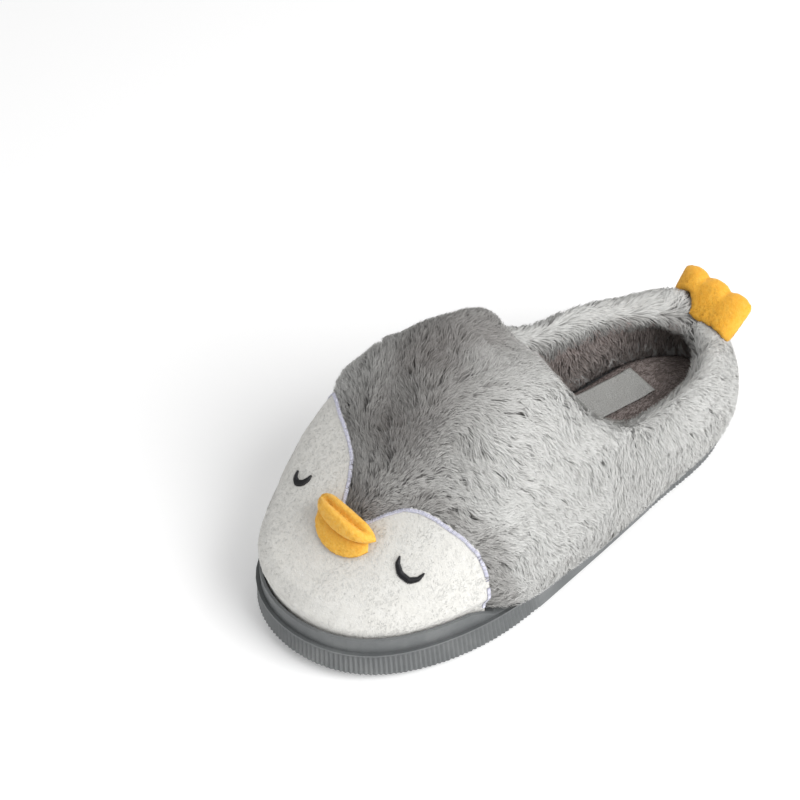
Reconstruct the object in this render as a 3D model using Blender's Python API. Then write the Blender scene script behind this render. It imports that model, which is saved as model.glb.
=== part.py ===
"""A left house slipper: plush mule with a sleeping bird face on a moulded ribbed sole.

Metres, +Z up, toe to +Y, the wearer's right (medial) side to +X, standing on the floor.
"""
import math
import random

import bmesh
import bpy
import numpy as np
from mathutils import Matrix, Vector
from mathutils.bvhtree import BVHTree

# Driving sizes of the shoe
SOLE_LENGTH = 0.262
BALL_WIDTH = 0.107
INSTEP_HEIGHT = 0.098

# Sole
TOE_SPRING = 0.005
SPRING_START = 0.70
BAND_HEIGHT = 0.0135
RIB_PITCH = 0.0022
RIB_DEPTH = 0.0007
SOLE_EDGE_BEVEL = 0.0012
LIP_HEIGHT = 0.0013
LIP_PROUD = 0.0006
GROOVE_DEPTH = 0.0014
RAND_HEIGHT = 0.0068
RAND_INSET = 0.0016
RAND_THICKNESS = 0.0016
RAND_START = 0.700
RAND_FULL = 0.745
CUFF_START = 0.705
CUFF_END = 0.672
PLATE_TOE = 0.0128
PLATE_HEEL = 0.0170
ARCH_RISE = 0.0026
ARCH_START = 0.33
ARCH_END = 0.47

# Upper
WALL = 0.0065
SEAT_WIDTH = 0.0079
CUFF_OVERHANG = 0.0022
CUFF_BULGE = 0.0040
TOE_BULGE = 0.0045
ROOF_WALL = 0.0075
LATERAL_FULLNESS = 2.5
MEDIAL_FULLNESS = 4.0
MEDIAL_SWELL = 0.0125
RIDGE_SHIFT = 0.010
COLLAR_ROLL = 0.0105
COLLAR_DROP = 0.0095
LOCK_LENGTH = 0.023
LOCK_WIDTH = 0.0125
LOCK_PROUD = 0.0036
LOCK_SPACING = 0.0200
LOCK_MARGIN = 0.0040
LOCK_SECTIONS = ((-0.45, 0.35, -0.10, -0.45), (0.05, 1.0, 0.75, -0.60))
LOCK_TIP = (0.55, 0.20)
LOCK_FREE_ROWS = 3

# Fit between neighbours, and how far a cutting shape reaches past what it cuts
GAP = 0.0003
CUT_REACH = 0.02

# Footbed and its ribbon label
INSOLE_THICKNESS = 0.0085
INSOLE_SIDE = 0.0055
INSOLE_ROUND = 0.0045
LABEL_WIDTH = 0.019
LABEL_LENGTH = 0.045
LABEL_THICKNESS = 0.0007
LABEL_PLACE = (0.055, 0.256)
LABEL_TURN = math.radians(-5)

# White face on the toe, and the two stuffed bills of its beak
FACE_CENTRE = 0.031
PANEL_THICKNESS = 0.0022
PANEL_SUNK = 0.0006
BEAK_PLACE = (0.012, 0.845)
BEAK_TURN = math.radians(2)
UPPER_BILL = {"length": 0.037, "depth": 0.0115, "thickness": 0.0105, "forward": -0.0005, "raise": 0.0062}
LOWER_BILL = {"length": 0.034, "depth": 0.0165, "thickness": 0.0050, "forward": 0.0055, "raise": 0.0020}

# Stuffed tail on the back of the collar
TAIL_LENGTH = 0.0235
TAIL_WIDTH = 0.038
TAIL_SPREAD = 0.004
TAIL_THICKNESS = 0.011
TAIL_SCALLOPS = 3
TAIL_SCALLOP_DEPTH = 0.0024
TAIL_SUNK = 0.004
TAIL_LEAN = math.radians(40)
TAIL_BACK = 0.002

# Round the shoe from the toe over the lateral side, the heel and the medial side.
# edge: outline of the sole; crest: top of the rolled collar, throat and cuff.
# x is a share of BALL_WIDTH, y of SOLE_LENGTH from the heel, z of INSTEP_HEIGHT.
# band is a share of BAND_HEIGHT, flare is how far the wall spreads at its foot, a share too.
AROUND_COLUMNS = ("edge_x", "edge_y", "crest_x", "crest_y", "crest_z", "band", "flare")
AROUND = (
    (0.055, 0.998, 0.03, 0.485, 1.000, 1.00, 0.08),
    (-0.220, 0.967, -0.09, 0.484, 0.990, 1.00, 0.08),
    (-0.415, 0.870, -0.18, 0.480, 0.950, 1.00, 0.12),
    (-0.506, 0.710, -0.265, 0.466, 0.890, 0.96, 0.15),
    (-0.480, 0.557, -0.340, 0.430, 0.780, 0.68, 0.12),
    (-0.436, 0.424, -0.370, 0.355, 0.645, 0.50, 0.06),
    (-0.381, 0.260, -0.340, 0.248, 0.575, 0.60, 0.08),
    (-0.300, 0.103, -0.262, 0.136, 0.550, 0.64, 0.10),
    (0.000, 0.004, 0.000, 0.062, 0.535, 0.75, 0.12),
    (0.300, 0.103, 0.240, 0.134, 0.600, 1.15, 0.40),
    (0.348, 0.260, 0.312, 0.248, 0.700, 1.25, 0.50),
    (0.360, 0.424, 0.348, 0.352, 0.715, 1.10, 0.32),
    (0.412, 0.557, 0.345, 0.432, 0.885, 1.00, 0.18),
    (0.490, 0.721, 0.275, 0.478, 1.055, 1.00, 0.14),
    (0.480, 0.858, 0.19, 0.485, 1.050, 1.00, 0.10),
    (0.320, 0.960, 0.11, 0.486, 1.030, 1.00, 0.08),
)

# Crown of the vamp and of the heel's form: station from the heel, height share of INSTEP_HEIGHT
CROWN = (
    (-0.01, 0.10), (0.004, 0.45), (0.03, 0.62), (0.07, 0.72), (0.16, 0.78), (0.27, 0.80),
    (0.36, 0.88), (0.44, 1.03), (0.50, 1.13), (0.56, 1.16), (0.62, 1.09), (0.68, 0.94), (0.73, 0.79),
    (0.80, 0.62), (0.85, 0.515), (0.90, 0.445), (0.94, 0.395), (0.97, 0.325), (0.985, 0.22),
)


# Edge of one lobe of the face, from the notch outwards: place across as a share of
# BALL_WIDTH from the face's centre, place along as a share of SOLE_LENGTH
LOBE = (
    (0.000, 0.842), (0.040, 0.836), (0.080, 0.818), (0.118, 0.795), (0.170, 0.772), (0.225, 0.759),
    (0.290, 0.748), (0.355, 0.738), (0.420, 0.725), (0.480, 0.714), (0.540, 0.713), (0.640, 0.713),
)


def table(rows, columns):
    """The table's columns by name."""
    return {name: np.array([row[i] for row in rows], float) for i, name in enumerate(columns)}


def smooth_loop(values, where):
    """A closed, smooth curve through one value for each row, read at any place between rows."""
    n = len(values)
    matrix = 4 * np.eye(n) + np.roll(np.eye(n), 1, axis=1) + np.roll(np.eye(n), -1, axis=1)
    slope = np.linalg.solve(matrix, 3 * (np.roll(values, -1) - np.roll(values, 1)))
    k = np.floor(where).astype(int) % n
    u = where - np.floor(where)
    a, b, sa, sb = values[k], values[(k + 1) % n], slope[k], slope[(k + 1) % n]
    return (a * (2 * u**3 - 3 * u**2 + 1) + sa * (u**3 - 2 * u**2 + u)
            + b * (3 * u**2 - 2 * u**3) + sb * (u**3 - u**2))


def smooth_step(low, high, value):
    """0 below low, 1 above high, with a soft change between."""
    u = np.clip((value - low) / (high - low), 0, 1)
    return u * u * (3 - 2 * u)


ROUND = table(AROUND, AROUND_COLUMNS)
ROWS = len(AROUND)


def station_to_y(share):
    """Place along the shoe: 0 is the heel's end and 1 the toe's, with y 0 in the middle."""
    return (share - 0.5) * SOLE_LENGTH


def y_to_station(y):
    """The inverse of station_to_y."""
    return y / SOLE_LENGTH + 0.5


def edge(where):
    """Outline of the sole on the floor, and its outward direction in plan."""
    x = smooth_loop(ROUND["edge_x"], where) * BALL_WIDTH
    y = station_to_y(smooth_loop(ROUND["edge_y"], where))
    step = 0.01
    dx = (smooth_loop(ROUND["edge_x"], where + step) - smooth_loop(ROUND["edge_x"], where - step)) * BALL_WIDTH
    dy = (smooth_loop(ROUND["edge_y"], where + step) - smooth_loop(ROUND["edge_y"], where - step)) * SOLE_LENGTH
    length = np.hypot(dx, dy)
    return x, y, dy / length, -dx / length


def toe_lift(y):
    """How far the toe spring raises everything at this place."""
    u = np.clip((y_to_station(y) - SPRING_START) / (1 - SPRING_START), 0, None)
    return TOE_SPRING * u**2


def rand_share(y):
    """1 where the smooth rand wraps the toe, 0 behind it."""
    return smooth_step(RAND_START, RAND_FULL, y_to_station(y))


def cuff_share(y):
    """1 behind the rand, where the furry upper overhangs the band, and 0 at the toe."""
    return smooth_step(1 - CUFF_START, 1 - CUFF_END, 1 - y_to_station(y))


def band_top(where):
    """Height of the ledge on top of the ribbed band."""
    return smooth_loop(ROUND["band"], where) * BAND_HEIGHT


def plate_height(y):
    """Top of the sole inside the shoe, without toe lift."""
    return PLATE_HEEL + (PLATE_TOE - PLATE_HEEL) * smooth_step(0.32, 0.64, y_to_station(y))


def rim_height(where):
    """Height of the inner plate's rim, which meets the ledge at the toe, without toe lift."""
    _, y, _, _ = edge(where)
    cuff = cuff_share(y)
    return cuff * plate_height(y) + (1 - cuff) * (band_top(where) + 2 * GAP)


def wall_flare(where):
    """How far the wall's top stands inside its foot."""
    return smooth_loop(ROUND["flare"], where) * BAND_HEIGHT


def sole_ring(where, offset, height):
    """Points of one ring of the sole: offset outwards from the outline, at this height."""
    x, y, nx, ny = edge(where)
    z = height + toe_lift(y)
    return [Vector(p) for p in zip(x + nx * offset, y + ny * offset, z)]


def even_places(count):
    """Places round the outline at even steps of its length."""
    dense = np.linspace(0, ROWS, 1601)
    x, y, _, _ = edge(dense)
    run = np.concatenate(([0], np.cumsum(np.hypot(np.diff(x), np.diff(y)))))
    return np.interp(np.arange(count) / count * run[-1], run, dense), run[-1]


def join_rings(mesh, outer, outer_places, inner, inner_places):
    """A strip of triangles between two closed rings whose points lie at these places."""
    i = j = 0
    while i < len(outer) or j < len(inner):
        next_outer = outer_places[i + 1] if i + 1 < len(outer) else ROWS + outer_places[0]
        next_inner = inner_places[j + 1] if j + 1 < len(inner) else ROWS + inner_places[0]
        a, b = outer[i % len(outer)], inner[j % len(inner)]
        if j >= len(inner) or (i < len(outer) and next_outer <= next_inner):
            mesh.faces.new((a, b, outer[(i + 1) % len(outer)]))
            i += 1
        else:
            mesh.faces.new((a, b, inner[(j + 1) % len(inner)]))
            j += 1


def close_ring(mesh, ring, stations, sides, height):
    """A lid over a ring, cut across at stations and along at sides, at a height worked out in plan."""
    flat = bmesh.new()
    face = flat.faces.new([flat.verts.new((v.co.x, v.co.y, 0)) for v in ring])
    face.normal_update()
    for share in stations:
        bmesh.ops.bisect_plane(flat, geom=flat.verts[:] + flat.edges[:] + flat.faces[:],
                               plane_co=(0, station_to_y(share), 0), plane_no=(0, 1, 0), dist=1e-6)
    for side in sides:
        bmesh.ops.bisect_plane(flat, geom=flat.verts[:] + flat.edges[:] + flat.faces[:],
                               plane_co=(side, 0, 0), plane_no=(1, 0, 0), dist=1e-6)
    flat.verts.ensure_lookup_table()
    rim = {v for e in flat.edges if e.is_boundary for v in e.verts}
    copies = {}
    for number, vertex in enumerate(flat.verts):
        if number < len(ring):
            copies[vertex] = ring[number]
        elif vertex in rim:
            copies[vertex] = min(ring, key=lambda v: (v.co.xy - vertex.co.xy).length)
        else:
            copies[vertex] = mesh.verts.new((vertex.co.x, vertex.co.y, height(vertex.co.x, vertex.co.y)))
    for face in flat.faces:
        corners = list(dict.fromkeys(copies[v] for v in face.verts))
        if len(corners) > 2:
            mesh.faces.new(corners)
    flat.free()


def finish(name, mesh, colour, roughness):
    """Put a finished mesh into the scene as one named sub-part with its own material."""
    bmesh.ops.remove_doubles(mesh, verts=mesh.verts, dist=1e-6)
    bmesh.ops.triangulate(mesh, faces=mesh.faces)
    bmesh.ops.recalc_face_normals(mesh, faces=mesh.faces)
    data = bpy.data.meshes.new(name)
    mesh.to_mesh(data)
    mesh.free()
    piece = bpy.data.objects.new(name, data)
    bpy.context.scene.collection.objects.link(piece)
    dress(piece, colour, roughness)
    return piece


def make_outsole():
    """Moulded sole: flat tread with an arch, ribbed band, lip, groove, toe rand and inner plate."""
    smooth_count = 96
    plain, length = even_places(smooth_count)
    ribs = 2 * round(length / RIB_PITCH)
    ribbed, _ = even_places(ribs)
    px, py, _, _ = edge(plain)
    rx, ry, _, _ = edge(ribbed)
    flare = wall_flare(plain)
    top = band_top(plain)
    rise = rand_share(py) * RAND_HEIGHT
    cuff = cuff_share(py)
    ledge_inset = flare + GROOVE_DEPTH
    rand_outer = flare + RAND_INSET + cuff * (SEAT_WIDTH + 2 * GAP - RAND_INSET)
    rand_inner = rand_outer + (1 - cuff) * RAND_THICKNESS * 0.8 + cuff * GAP / 2
    plate_edge = flare + cuff * (SEAT_WIDTH + 3 * GAP) + (1 - cuff) * (RAND_INSET + RAND_THICKNESS)
    plate = rim_height(plain)

    # Ribs stand out round forefoot and heel and fade at the waist and at the very back
    station = y_to_station(ry)
    lateral = rx < 0
    forefoot = smooth_step(0.60, 0.63, station)
    forefoot = np.where(lateral, forefoot, smooth_step(0.46, 0.49, station))
    heel = (1 - smooth_step(0.30, 0.33, station)) * smooth_step(0.022, 0.035, station)
    heel = np.where(lateral, heel, (1 - smooth_step(0.42, 0.45, station)) * smooth_step(0.022, 0.035, station))
    depth = np.maximum(forefoot, heel) * RIB_DEPTH * (np.arange(ribs) % 2)
    rib_flare = wall_flare(ribbed)
    rib_top = band_top(ribbed) - LIP_HEIGHT

    mesh = bmesh.new()

    def ring(places, offset, height):
        return [mesh.verts.new(p) for p in sole_ring(places, offset, height)]

    tread = ring(plain, np.full(smooth_count, -2 * SOLE_EDGE_BEVEL), np.zeros(smooth_count))
    wall_foot = ring(ribbed, -depth, np.full(ribs, SOLE_EDGE_BEVEL))
    wall_top = ring(ribbed, -rib_flare - depth, rib_top)
    lip_under = ring(plain, -flare + LIP_PROUD, top - LIP_HEIGHT * 0.75)
    lip_top = ring(plain, -flare + LIP_PROUD, top)
    groove = ring(plain, -ledge_inset, top - LIP_HEIGHT * 0.5)
    rand_top = ring(plain, -rand_outer, top + rise + GAP)
    rand_inside = ring(plain, -rand_inner, top + rise + 2 * GAP)
    plate_rim = ring(plain, -plate_edge, plate)
    join_rings(mesh, tread, plain, wall_foot, ribbed)
    join_rings(mesh, wall_foot, ribbed, wall_top, ribbed)
    join_rings(mesh, wall_top, ribbed, lip_under, plain)
    for low, high in ((lip_under, lip_top), (lip_top, groove), (groove, rand_top),
                      (rand_top, rand_inside), (rand_inside, plate_rim)):
        join_rings(mesh, low, plain, high, plain)

    def tread_height(x, y):
        share = y_to_station(y)
        rise = math.sin(math.pi * np.clip((share - ARCH_START) / (ARCH_END - ARCH_START), 0, 1))
        return ARCH_RISE * rise + float(toe_lift(y))

    def plate_surface(x, y):
        return float(plate_height(y) + toe_lift(y))

    across = (0.08, 0.33, 0.36, 0.40, 0.44, 0.47, 0.70, 0.78, 0.85, 0.91, 0.95)
    close_ring(mesh, tread, across, (-0.018, 0.018), tread_height)
    close_ring(mesh, plate_rim, (0.33, 0.42, 0.50, 0.58, 0.66, 0.75, 0.83, 0.90), (0.0,), plate_surface)
    return finish("outsole", mesh, (0.20, 0.22, 0.22), 0.55)


def seat_height(where):
    """Height at which the upper stands on the sole's ledge, with the toe's lift."""
    _, y, _, _ = edge(where)
    return band_top(where) + 3 * GAP + toe_lift(y)


def upper_foot(where, side):
    """Foot of the upper's outer face (side 0) or inner face (side 1) on the sole."""
    x, y, nx, ny = edge(where)
    cuff = cuff_share(y)
    stand = RAND_INSET + RAND_THICKNESS + GAP
    outer = cuff * CUFF_OVERHANG - (1 - cuff) * stand
    inner = -cuff * SEAT_WIDTH - (1 - cuff) * (stand + WALL)
    offset = (inner if side else outer) - wall_flare(where)
    return x + nx * offset, y + ny * offset, seat_height(where)


def collar_crest(where):
    """Top line of the rolled collar, and its direction in plan into the opening."""
    x = smooth_loop(ROUND["crest_x"], where) * BALL_WIDTH
    y = station_to_y(smooth_loop(ROUND["crest_y"], where))
    z = smooth_loop(ROUND["crest_z"], where) * INSTEP_HEIGHT
    step = 0.05
    after, before = where + step, where - step
    dx = (smooth_loop(ROUND["crest_x"], after) - smooth_loop(ROUND["crest_x"], before)) * BALL_WIDTH
    dy = (smooth_loop(ROUND["crest_y"], after) - smooth_loop(ROUND["crest_y"], before)) * SOLE_LENGTH
    length = np.hypot(dx, dy)
    return x, y, z, -dy / length, dx / length


def crown_height(y):
    """Height of the form's crown at this place along the shoe, before the toe's lift."""
    stations, heights = zip(*CROWN)
    return np.interp(y_to_station(y), stations, heights) * INSTEP_HEIGHT


class Form:
    """The last's form over one foot line: an arch between its two sides at every station."""

    def __init__(self, side):
        self.side = side
        x, y, _ = upper_foot(np.linspace(0, ROWS, 1600, endpoint=False), side)
        x, y = np.roll(x, -np.argmax(y)), np.roll(y, -np.argmax(y))
        heel = np.argmin(y)
        self.lateral = (y[heel::-1], x[heel::-1])
        self.medial = (np.append(y[heel:], y[0]), np.append(x[heel:], x[0]))

    def height(self, x, y, base):
        """Height of the form over a place in plan, over a base."""
        left = np.interp(y, *self.lateral)
        right = np.interp(y, *self.medial)
        ridge = (left + right) / 2 + RIDGE_SHIFT * smooth_step(1.0, 0.7, y_to_station(y))
        half = np.maximum(np.where(x > ridge, right - ridge, ridge - left), 1e-5)
        across = np.clip(np.abs(x - ridge) / half, 0, 1)
        fullness = np.where(x > ridge, MEDIAL_FULLNESS, LATERAL_FULLNESS)
        arch = (1 - across**fullness) ** (1 / fullness)
        crown = crown_height(y) - (ROOF_WALL if self.side else 0)
        return base + np.maximum(crown - base, 0) * arch


OUTER_STEPS = (0, 0.004, 0.020, 0.07, 0.15, 0.25, 0.37, 0.50, 0.64, 0.79, 0.91, 1)
INNER_STEPS = (1, 0.80, 0.58, 0.36, 0.16, 0.05, 0)


def column_places():
    """Places of the upper's columns: four to each row, and more where the toe changes to the cuff."""
    dense = np.linspace(0, ROWS, 3201)
    station = smooth_loop(ROUND["edge_y"], dense)
    places = list(np.arange(4 * ROWS) / 4)
    for share in (CUFF_START, (CUFF_START + CUFF_END) / 2, CUFF_END):
        crossings = np.flatnonzero(np.diff(np.sign(station - share)))
        places += list(dense[crossings])
    return np.array(sorted(places))


PLACES = column_places()
COLUMNS = len(PLACES)


def outer_rows():
    """Rows of the upper's outer skin, from its foot on the sole up to the collar's crest."""
    where = PLACES
    form = Form(0)
    fx, fy, fz = upper_foot(where, 0)
    cx, cy, cz, _, _ = collar_crest(where)
    _, _, nx, ny = edge(where)
    cuff = cuff_share(fy)
    vamp = smooth_step(0.40, 0.46, smooth_loop(ROUND["crest_y"], where))
    swell = vamp * np.clip(nx, 0, 1) ** 2 * smooth_step(0.95, 0.80, y_to_station(fy))
    bulge = cuff * CUFF_BULGE + (1 - cuff) * TOE_BULGE
    mend = cz - form.height(cx, cy, fz)
    rows = []
    for step in OUTER_STEPS:
        x, y = fx + (cx - fx) * step, fy + (cy - fy) * step
        z = fz if step == 0 else form.height(x, y, fz) + mend * step**2
        if step == OUTER_STEPS[1]:
            z = np.minimum(z, fz + RAND_HEIGHT + GAP)
        up = np.clip((z - fz) / (cz - fz), 0, 1)
        free = cuff + (1 - cuff) * smooth_step(0, RAND_HEIGHT, z - fz - RAND_HEIGHT - GAP)
        out = free * bulge * np.sin(math.pi * up**0.55) + swell * MEDIAL_SWELL * np.sin(math.pi * up**1.5)
        rows.append(np.stack((x + nx * out, y + ny * out, z), axis=1))
    return rows


def inner_rows():
    """Rows of the upper's inside, over the roll of the collar and down to the sole."""
    where = PLACES
    form = Form(1)
    ix, iy, iz = upper_foot(where, 1)
    base = np.maximum(plate_height(iy) + toe_lift(iy), iz) + INSOLE_SIDE + GAP
    cx, cy, cz, into_x, into_y = collar_crest(where)
    lip_x, lip_y, lip_z = cx + into_x * COLLAR_ROLL, cy + into_y * COLLAR_ROLL, cz - COLLAR_DROP
    vamp = smooth_step(0.40, 0.46, smooth_loop(ROUND["crest_y"], where))
    arched_share = 0.5 + 0.5 * vamp
    mend = lip_z - form.height(lip_x, lip_y, base)
    turn = 0.55
    rows = [np.stack((cx + (lip_x - cx) * turn, cy + (lip_y - cy) * turn, cz - COLLAR_DROP * 0.22), axis=1)]
    for step in INNER_STEPS:
        x, y = ix + (lip_x - ix) * step, iy + (lip_y - iy) * step
        arched = base if step == 0 else form.height(x, y, base) + mend * step**2
        straight = base + (lip_z - base) * step
        rows.append(np.stack((x, y, arched * arched_share + straight * (1 - arched_share)), axis=1))
    rows.append(np.stack((ix, iy, iz), axis=1))
    return rows


def row_normals(rows):
    """Outward direction of the skin at each point of its rows."""
    grid = np.array(rows)
    along = np.roll(grid, -1, axis=1) - np.roll(grid, 1, axis=1)
    up = np.gradient(grid, axis=0)
    normal = np.cross(along, up)
    normal /= np.linalg.norm(normal, axis=2, keepdims=True)
    return normal


def add_skin(mesh, rings):
    """Triangles between closed rings of one length, all split along the same diagonal."""
    for low, high in zip(rings, rings[1:]):
        for k in range(COLUMNS):
            other = (k + 1) % COLUMNS
            mesh.faces.new((low[k], low[other], high[other]))
            mesh.faces.new((low[k], high[other], high[k]))


def make_core(depth, drop):
    """The outer form as a closed solid, its skin moved in by depth and its foot lowered by drop."""
    rows = outer_rows()
    grid = np.array(rows) - row_normals(rows) * depth
    grid[0, :, 2] = rows[0][:, 2] - drop
    mesh = bmesh.new()
    rings = [[mesh.verts.new(point) for point in row] for row in grid]
    add_skin(mesh, rings)
    for ring in (rings[0], rings[-1]):
        middle = mesh.verts.new(sum((v.co for v in ring), Vector()) / COLUMNS)
        for k in range(COLUMNS):
            mesh.faces.new((ring[k], ring[(k + 1) % COLUMNS], middle))
    return tool(mesh)


def face_outline(grow):
    """Plan outline of the face's area, from the lateral side over both lobes and round the toe."""
    across, along = (np.array(column) for column in zip(*LOBE))
    centre = FACE_CENTRE * BALL_WIDTH
    x = across * BALL_WIDTH
    y = station_to_y(along) - grow
    right = list(zip(centre + x, y))
    left = list(zip(centre - x[1:], y[1:]))[::-1]
    far = station_to_y(1.2)
    wide = right[-1][0] + BALL_WIDTH * 0.2
    return left + right + [(wide, right[-1][1]), (wide, far), (-wide, far), (-wide, left[0][1])]


def make_face_prism(grow):
    """Upright prism over the face's area."""
    mesh = bmesh.new()
    outline = face_outline(grow)
    low = [mesh.verts.new((x, y, -0.01)) for x, y in outline]
    high = [mesh.verts.new((x, y, INSTEP_HEIGHT * 1.5)) for x, y in outline]
    mesh.faces.new(low[::-1])
    mesh.faces.new(high)
    for k in range(len(low)):
        other = (k + 1) % len(low)
        mesh.faces.new((low[k], low[other], high[other], high[k]))
    return tool(mesh)


def tool(mesh):
    """A closed shape that only cuts others."""
    bmesh.ops.recalc_face_normals(mesh, faces=mesh.faces)
    data = bpy.data.meshes.new("tool")
    mesh.to_mesh(data)
    mesh.free()
    shape = bpy.data.objects.new("tool", data)
    shape.hide_render = True
    shape.display_type = "WIRE"
    bpy.context.scene.collection.objects.link(shape)
    return shape


def cut(piece, operation, shape):
    """Apply one Boolean to a piece, and drop the shape."""
    change = piece.modifiers.new(operation, "BOOLEAN")
    change.operation = operation
    change.object = shape
    depsgraph = bpy.context.evaluated_depsgraph_get()
    result = bpy.data.meshes.new_from_object(piece.evaluated_get(depsgraph))
    piece.modifiers.clear()
    piece.data = result
    bpy.data.objects.remove(shape, do_unlink=True)


def outer_tree():
    """The outer skin for finding places on it."""
    rows = outer_rows()
    points = [Vector(p) for row in rows for p in row]
    faces = []
    for r in range(len(rows) - 1):
        for k in range(COLUMNS):
            other = (k + 1) % COLUMNS
            faces.append((r * COLUMNS + k, r * COLUMNS + other, (r + 1) * COLUMNS + other, (r + 1) * COLUMNS + k))
    return BVHTree.FromPolygons(points, faces)


def skin_frame(tree, place, turn):
    """Axes on the skin under a place in plan: across, forwards down the slope, and outwards."""
    x, y = place[0] * BALL_WIDTH, station_to_y(place[1])
    spot, normal, _, _ = tree.ray_cast(Vector((x, y, 1)), Vector((0, 0, -1)))
    if normal.z < 0:
        normal = -normal
    across = (Matrix.Rotation(turn, 3, normal) @ Vector((1, 0, 0))).cross(normal).normalized()
    forwards = across if across.y > 0 else -across
    across = forwards.cross(normal).normalized()
    frame = Matrix((across, forwards, normal)).transposed().to_4x4()
    frame.translation = spot
    return frame


def add_lock(mesh, spot, along, normal, size):
    """One pointed lock of fur: its root sunk in the skin, its tip standing proud."""
    side = normal.cross(along).normalized()
    rings = []
    for place, width, top, bottom in LOCK_SECTIONS:
        centre = spot + along * LOCK_LENGTH * place * size
        half = side * LOCK_WIDTH * width * size / 2
        rings.append([mesh.verts.new(p) for p in (
            centre + half, centre + normal * LOCK_PROUD * top, centre - half,
            centre + normal * LOCK_PROUD * bottom)])
    tip_place, tip_proud = LOCK_TIP
    tip = mesh.verts.new(spot + along * LOCK_LENGTH * tip_place * size + normal * LOCK_PROUD * tip_proud)
    mesh.faces.new(rings[0])
    for k in range(4):
        other = (k + 1) % 4
        mesh.faces.new((rings[0][k], rings[0][other], rings[1][other], rings[1][k]))
        mesh.faces.new((rings[1][k], rings[1][other], tip))


def make_locks():
    """Locks of fur spread evenly over the grey skin, lying down the slope and towards the heel."""
    chance = random.Random(7)
    rows = outer_rows()
    normals = row_normals(rows)
    outline = face_outline(LOCK_MARGIN)
    mesh = bmesh.new()
    taken = []
    tail = Vector(rows[-1][np.argmin(rows[-1][:, 1])])
    candidates = [(r, k) for r in range(2, len(rows) - LOCK_FREE_ROWS) for k in range(COLUMNS)]
    chance.shuffle(candidates)
    for r, k in candidates:
        spot, normal = Vector(rows[r][k]), Vector(normals[r][k])
        if inside(outline, spot.x, spot.y) or spot.z < rows[0][k][2] + LOCK_LENGTH * 0.6:
            continue
        if (spot - tail).length < TAIL_WIDTH:
            continue
        if any((spot - other).length < LOCK_SPACING for other in taken):
            continue
        taken.append(spot)
        wish = Vector((chance.uniform(-0.5, 0.5), -0.35 + chance.uniform(-0.5, 0.5), -0.8))
        along = (wish - normal * wish.dot(normal)).normalized()
        add_lock(mesh, spot, along, normal, chance.uniform(0.85, 1.0))
    return tool(mesh)


def inside(outline, x, y):
    """Whether a place in plan lies inside an outline."""
    result = False
    for (ax, ay), (bx, by) in zip(outline, outline[1:] + outline[:1]):
        if (ay > y) != (by > y) and x < ax + (y - ay) / (by - ay) * (bx - ax):
            result = not result
    return result


def make_upper():
    """Hollow furry shell, open at the collar and underneath, recessed for the face."""
    mesh = bmesh.new()
    rings = [[mesh.verts.new(point) for point in row] for row in outer_rows() + inner_rows()]
    add_skin(mesh, rings + rings[:1])
    upper = finish("upper", mesh, (0.52, 0.52, 0.50), 0.95)
    recess = make_face_prism(GAP)
    cut(recess, "DIFFERENCE", make_core(PANEL_SUNK + PANEL_THICKNESS + GAP, CUT_REACH))
    cut(upper, "UNION", make_locks())
    cut(upper, "DIFFERENCE", recess)
    dress(upper, (0.52, 0.52, 0.50), 0.95)
    return upper


def make_face_panel():
    """White overlay of the toe: the layer between two forms, under the outline of the two lobes."""
    panel = make_face_prism(0)
    panel.hide_render = False
    panel.display_type = "TEXTURED"
    panel.name = "face_panel"
    cut(panel, "INTERSECT", make_core(PANEL_SUNK, 0))
    cut(panel, "DIFFERENCE", make_core(PANEL_SUNK + PANEL_THICKNESS, CUT_REACH))
    dress(panel, (0.86, 0.85, 0.80), 0.95)
    return panel


def dress(piece, colour, roughness):
    """Give a piece its material and soft shading."""
    material = bpy.data.materials.new(piece.name)
    material.use_nodes = True
    shader = material.node_tree.nodes["Principled BSDF"]
    shader.inputs["Base Color"].default_value = (*colour, 1)
    shader.inputs["Roughness"].default_value = roughness
    piece.data.materials.clear()
    piece.data.materials.append(material)
    piece.data.shade_smooth()
    piece.data.set_sharp_from_angle(angle=math.radians(35))


def make_insole():
    """Plush footbed lying on the sole inside the upper's walls."""
    count = 64
    plain, _ = even_places(count)
    _, y, _, _ = edge(plain)
    cuff = cuff_share(y)
    stand = RAND_INSET + RAND_THICKNESS + GAP
    inset = cuff * SEAT_WIDTH + (1 - cuff) * (stand + WALL) + wall_flare(plain) + 2 * GAP
    base = np.maximum(plate_height(y), rim_height(plain)) + GAP
    mesh = bmesh.new()

    def ring(offset, height):
        return [mesh.verts.new(p) for p in sole_ring(plain, offset, height)]

    under = ring(-inset - GAP, base)
    side = ring(-inset, base + INSOLE_SIDE)
    top = ring(-inset - INSOLE_ROUND, base + INSOLE_THICKNESS)
    join_rings(mesh, under, plain, side, plain)
    join_rings(mesh, side, plain, top, plain)

    def top_height(x, y):
        return insole_top(y)

    def under_height(x, y):
        return insole_top(y) - INSOLE_THICKNESS

    close_ring(mesh, under, (0.32, 0.40, 0.48, 0.56, 0.64, 0.76, 0.86), (), under_height)
    close_ring(mesh, top, (0.32, 0.40, 0.48, 0.56, 0.64, 0.76, 0.86), (), top_height)
    return finish("insole", mesh, (0.34, 0.29, 0.28), 0.95)


def insole_top(y):
    """Height of the footbed's middle at this place along the shoe."""
    return float(plate_height(y) + 3 * GAP + toe_lift(y)) + INSOLE_THICKNESS


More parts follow.
